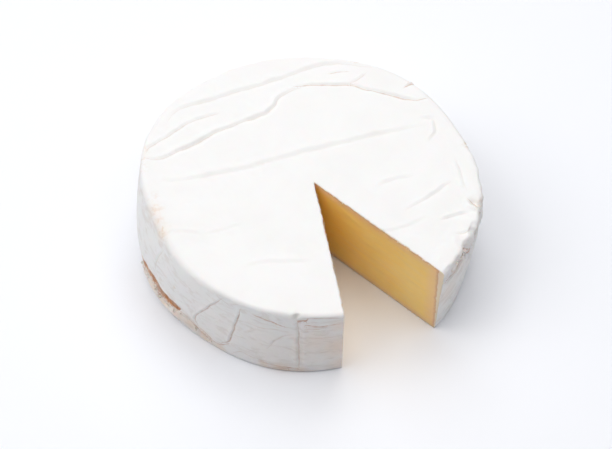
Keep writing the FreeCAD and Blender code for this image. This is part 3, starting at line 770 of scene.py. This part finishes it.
# painted warm light: the broad spots, 5 mm across or more, beside the cut faces stand for warm light reflected from
# the golden paste; the small ones are thin felt and the cream lip of the base
CREAM_AND_WARM_LIGHT_SPOTS = [   # where the white felt is thin and the curd's own colour shows through
    (166.0, 0.97, 3.0, 0.4), (171.0, 0.96, 2.6, 0.35), (176.0, 0.95, 3.2, 0.5), (168.0, 0.16, 4.0, 0.7),
    (176.0, 0.18, 4.5, 0.8), (184.0, 0.13, 4.5, 0.8), (191.0, 0.15, 4.0, 0.8),
    (197.0, 0.14, 4.0, 0.9), (203.0, 0.08, 4.0, 0.9), (209.0, 0.05, 3.0, 0.7), (232.0, 0.05, 4.0, 0.9),
    (226.0, 0.07, 2.5, 0.7), (238.0, 0.04, 3.0, 0.7), (244.0, 0.55, 9.0, 0.50), (250.5, 0.45, 8.0, 0.75),
    (251.0, 0.80, 5.0, 0.50), (251.0, 0.12, 5.0, 0.50), (228.0, 0.35, 14.0, 0.22), (212.0, 0.40, 12.0, 0.15),
    (240.0, 0.40, 12.0, 0.28), (-62.0, 0.80, 6.0, 0.30), (-68.0, 0.55, 7.0, 0.35), (216.0, 0.55, 4.0, 0.20),
]


def spots_near(places, spots):
    """How strongly each place is marked by the nearest of some round spots."""
    value = np.zeros(len(places))
    for degrees, share, spread, strength in spots:
        spot = np.array(on_side(degrees, share))
        value = np.maximum(value, strength * np.exp(-((places - spot) ** 2).sum(axis=1) / spread ** 2))
    return value


def mark_blank(obj):
    """Stores where the skin is loose, rubbed or thin, where warm reflected light is painted on it, where it is free
    to move, and its own way out.
    """
    mesh = obj.data
    places = np.zeros(len(mesh.vertices) * 3)
    mesh.vertices.foreach_get("co", places)
    places = places.reshape(-1, 3) / MM
    around = np.arctan2(places[:, 1], places[:, 0])
    out = np.hypot(places[:, 0], places[:, 1])
    past_edge = np.where(out > flat_edge(around) + 0.5, 1.0, 0.35)
    near_rim = np.clip((out - 50) / 12, 0, 1) * np.clip((places[:, 2] - 14) / 12, 0, 1)
    keep_numbers(mesh, "loose", near_turn(around, LOOSE_AT) * near_rim * past_edge)
    keep_numbers(mesh, "rubbed", spots_near(places, RUBBED_SPOTS))
    keep_numbers(mesh, "cream_and_warm_light", spots_near(places, CREAM_AND_WARM_LIGHT_SPOTS))
    keep_numbers(mesh, "free", np.clip(places[:, 2] / 1.5, 0, 1))
    # level at the side and upright on top, so that cut edges don't lean
    over = np.clip((out - flat_edge(around)) / rim_rounding(around), 0, 1)
    over = np.where(places[:, 2] < WHEEL_HEIGHT - rim_rounding(around), 1.0, over)
    outward = np.stack([np.cos(around) * over, np.sin(around) * over, np.sqrt(1 - over ** 2)], axis=1)
    keep_vectors(mesh, "outward", outward)


mark_blank(blank)


def run_tree(obj, tree, values, name):
    """Runs a tree on an object and returns the result as a plain mesh object."""
    modifier = obj.modifiers.new(tree.name, "NODES")
    modifier.node_group = tree
    sockets = {s.name: s.identifier for s in tree.interface.items_tree
               if s.item_type == "SOCKET" and s.in_out == "INPUT"}
    for label, value in values.items():
        modifier[sockets[label]] = value
    evaluated = obj.evaluated_get(bpy.context.evaluated_depsgraph_get())
    mesh = bpy.data.meshes.new_from_object(evaluated)
    mesh.name = name
    obj.modifiers.remove(modifier)
    return place_mesh(name, mesh)


PRESSING = {"Paths": rind_paths, "Lump height": 0.30, "Grain height": 0.10,
            "Loose wrinkle height": 2.2, "Loose wrinkle size": 5.0}
cheese = run_tree(blank, press_folds_tree(), PRESSING, "cut_brie_wheel")
for polygon in cheese.data.polygons:
    polygon.use_smooth = True
bpy.data.objects.remove(blank)
bpy.data.objects.remove(rind_paths)
print("cheese: points", len(cheese.data.vertices), "triangles", len(cheese.data.polygons),
      "finishes", [m.name for m in cheese.data.materials])

# %% [markdown]
# ## Crumbs and torn flakes
# A knife drags crumbs of mould and paste along its stroke, and torn skin stands up in small flakes. One tree
# scatters them: it walks along a line at an even spacing and puts a small lump at each step, turned and sized
# at random from a fixed seed.

# %% The scatter_bits tree
def scatter_bits_tree():
    tree, given = new_tree("scatter_bits", [
        ("Spacing", "NodeSocketFloat", 0.001), ("Stray", "NodeSocketFloat", 0.0003),
        ("Smallest", "NodeSocketFloat", 0.3), ("Largest", "NodeSocketFloat", 1.0), ("Seed", "NodeSocketInt", 1),
        ("Bit", "NodeSocketObject", None), ("Finish", "NodeSocketMaterial", None)])
    bit = add(tree, "GeometryNodeObjectInfo", {"Object": given.outputs["Bit"]}, out="Geometry")
    curve = add(tree, "GeometryNodeMeshToCurve", {"Mesh": given.outputs["Geometry"]})
    steps = add(tree, "GeometryNodeResampleCurve", {"Curve": curve, "Length": given.outputs["Spacing"]},
            mode="LENGTH")
    less = add(tree, "ShaderNodeMath", {0: given.outputs["Stray"], 1: -1.0}, operation="MULTIPLY")
    low = add(tree, "ShaderNodeCombineXYZ", {i: less for i in range(3)})
    high = add(tree, "ShaderNodeCombineXYZ", {i: given.outputs["Stray"] for i in range(3)})
    seed = given.outputs["Seed"]
    shift = add(tree, "FunctionNodeRandomValue", {0: low, 1: high, "Seed": seed}, data_type="FLOAT_VECTOR")
    strayed = add(tree, "GeometryNodeSetPosition", {"Geometry": steps, "Offset": shift})
    turn = add(tree, "FunctionNodeRandomValue", {0: (0, 0, 0), 1: (6.28, 6.28, 6.28), "Seed": seed},
            data_type="FLOAT_VECTOR")
    size = add(tree, "FunctionNodeRandomValue", {2: given.outputs["Smallest"], 3: given.outputs["Largest"],
            "Seed": seed}, data_type="FLOAT", out=1)
    placed = add(tree, "GeometryNodeInstanceOnPoints", {"Points": strayed, "Instance": bit, "Rotation": turn,
                 "Scale": size})
    real = add(tree, "GeometryNodeRealizeInstances", {"Geometry": placed})
    done = add(tree, "GeometryNodeSetMaterial", {"Geometry": real, "Material": given.outputs["Finish"]})
    add(tree, "NodeGroupOutput", {"Geometry": done})
    return tree


# %% Two small lumps to scatter: a round crumb and a thin flake, each 1 mm across
def make_bit(name, flatness, seed):
    bm = bmesh.new()
    bmesh.ops.create_icosphere(bm, subdivisions=1, radius=0.5)
    for v in bm.verts:
        v.co *= 1 + 0.35 * rough(*v.co, 0.6, seed)
        v.co.z = v.co.z * flatness + 0.25 * (1 - flatness) * v.co.x ** 2
        v.co *= MM
    mesh = bpy.data.meshes.new(name)
    bm.to_mesh(mesh)
    bm.free()
    return place_mesh(name, mesh)


def line_object(name, lines):
    """Several lines of points in millimetres as one mesh of edges."""
    verts, edges = [], []
    for line in lines:
        edges += [(len(verts) + k, len(verts) + k + 1) for k in range(len(line) - 1)]
        verts += [Vector(p) * MM for p in line]
    mesh = bpy.data.meshes.new(name)
    mesh.from_pydata(verts, edges, [])
    return place_mesh(name, mesh)


TOP_CRUMBS_OFF, FACE_CRUMBS_OFF = 0.15, 0.54   # how far crumbs lie off the knife's plane, in mm


def cut_line(turn, off, height, start, end):
    """A line along a cut face at a height, a little off the knife's plane."""
    along = np.linspace(start, end, 60)
    return [(CUT_APEX[0] + a * math.cos(turn) - off * math.sin(turn),
             CUT_APEX[1] + a * math.sin(turn) + off * math.cos(turn), height) for a in along]


crumb, flake = make_bit("crumb", 0.8, 2.0), make_bit("flake", 0.22, 5.0)
scatter_bits = scatter_bits_tree()
print("bits", [(b.name, len(b.data.polygons)) for b in (crumb, flake)])

# %% Scatter mould crumbs along the cut's top, paste crumbs on its faces, flakes at the crack and the lip
CUT_SIDES = ((FIRST_TURN, -1.0), (LAST_TURN, 1.0))
top_lines = line_object("top_lines", [cut_line(t, o * TOP_CRUMBS_OFF, WHEEL_HEIGHT - 0.25, 6, 61)
                                      for t, o in CUT_SIDES])
face_lines = line_object("face_lines", [cut_line(t, o * FACE_CRUMBS_OFF, h, 6, 58)
                                        for t, o in CUT_SIDES for h in (1.0, WHEEL_HEIGHT - 1.6)])
LIP_LINE = [(-68, 0.90), (-62, 0.94), (-56, 0.90), (-50, 0.94), (-45, 0.95), (-41.5, 0.97)]
crack_line, torn_line, lip_line = (smooth_path([on_side(*c) for c in corners]) for corners in (
    SIDE_PATHS["crack"][5], SIDE_PATHS["torn_edge"][5], LIP_LINE))
tear_lines = line_object("tear_lines", [
    [p + Vector((0, 0, -3.1)) for p in crack_line], [p + Vector((0, 0, -0.8)) for p in torn_line], lip_line])
SCATTERED = [  # name, lines, lump, spacing mm, smallest, largest, stray mm, seed, finish
    ("mould_crumbs", top_lines, crumb, 1.1, 0.15, 0.50, 0.25, 4, bloomy_rind),
    ("paste_crumbs", face_lines, crumb, 2.2, 0.15, 0.45, 0.50, 9, ripe_paste),
    ("torn_flakes", tear_lines, flake, 1.1, 0.60, 2.00, 0.50, 3, bloomy_rind),
]
bits = []
for name, lines, lump, spacing, small, large, stray, seed, finish in SCATTERED:
    bits.append(run_tree(lines, scatter_bits, {
        "Spacing": spacing * MM, "Smallest": small, "Largest": large, "Stray": stray * MM,
        "Seed": seed, "Bit": lump, "Finish": finish}, name))
for left_over in (top_lines, face_lines, tear_lines, crumb, flake):
    bpy.data.objects.remove(left_over)
for piece in bits:
    if piece.name == "paste_crumbs":
        keep_numbers(piece.data, "skin_depth", np.full(len(piece.data.vertices), 9.0))
    elif piece.name == "torn_flakes":
        keep_numbers(piece.data, "cream_and_warm_light", np.full(len(piece.data.vertices), 0.5))
    print(piece.name, "triangles", len(piece.data.polygons))

# %% [markdown]
# ## Handing the pieces to the frame
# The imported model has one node. The detailed cheese takes its place, and the crumbs and flakes ride on the
# same body, so they go wherever the cheese is put.

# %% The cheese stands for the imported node, and the bits go with it
for piece in [cheese] + bits:
    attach(piece, "root")
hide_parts("brie_wheel")

# %% [markdown]
# ## The studio
# White food on a white ground needs the light to do the drawing. A very large soft lamp hangs over the wheel
# and weaker ones stand behind and beside it, so the top and the ground come out nearly white while the side
# that faces the viewer stays a soft grey. The room's own light is faint and slightly blue.

# %% Ground, lamps and room
LAMP_DISTANCE = 1.7


def make_ground():
    mesh = bpy.data.meshes.new("studio_ground")
    mesh.from_pydata([(-4, -4, 0), (4, -4, 0), (4, 4, 0), (-4, 4, 0)], [], [(0, 1, 2, 3)])
    ground = place_mesh("studio_ground", mesh)
    finish, tree = new_finish("white_studio_paper")
    paper = add(tree, "ShaderNodeBsdfPrincipled", {"Base Color": colour("#F2F3F7"), "Roughness": 0.9,
                "Specular IOR Level": 0.1})
    add(tree, "ShaderNodeOutputMaterial", {"Surface": paper})
    mesh.materials.append(finish)


def make_lamp(name, degrees, height, width, watts):
    """A round softbox in a direction round from +X, at a height in degrees above level."""
    turn, lift = math.radians(degrees), math.radians(height)
    light = bpy.data.lights.new(name, "AREA")
    light.shape = "DISK"
    light.size = width
    light.energy = watts
    lamp = bpy.data.objects.new(name, light)
    level = LAMP_DISTANCE * math.cos(lift)
    lamp.location = (level * math.cos(turn), level * math.sin(turn), LAMP_DISTANCE * math.sin(lift))
    lamp.rotation_euler = (Vector((0, 0, 0.02)) - lamp.location).to_track_quat("-Z", "Y").to_euler()
    bpy.context.scene.collection.objects.link(lamp)


make_ground()
make_lamp("overhead_softbox", 0, 90, 2.4, 20.5)
make_lamp("back_right_softbox", 60, 50, 1.4, 8.8)
make_lamp("back_left_softbox", 140, 45, 1.4, 6.4)
make_lamp("left_softbox", 170, 45, 1.4, 6.1)
make_lamp("right_softbox", 320, 45, 1.4, 4.6)
room = bpy.data.worlds.new("pale_room")
room.use_nodes = True
room.node_tree.nodes["Background"].inputs["Color"].default_value = colour("#E4EBFA")
room.node_tree.nodes["Background"].inputs["Strength"].default_value = 0.05
bpy.context.scene.world = room
bpy.context.scene.view_settings.view_transform = "Standard"

# %% [markdown]
# ## The camera
# A long lens from well above keeps the wheel's ellipse true. The cut faces the viewer's right.

# %% Camera
camera_data = bpy.data.cameras.new("camera")
camera_data.sensor_width = 36.0
camera_data.lens = 117.65
camera_data.clip_start, camera_data.clip_end = 0.05, 20.0
camera = bpy.data.objects.new("camera", camera_data)
PITCH, HEADING = math.radians(50.73), math.radians(-29.5)
camera.location = (-0.2429, -0.4283, 0.6100)
look = Vector((-math.sin(HEADING) * math.cos(PITCH), math.cos(HEADING) * math.cos(PITCH), -math.sin(PITCH)))
camera.rotation_euler = look.to_track_quat("-Z", "Y").to_euler()
bpy.context.scene.collection.objects.link(camera)
bpy.context.scene.camera = camera
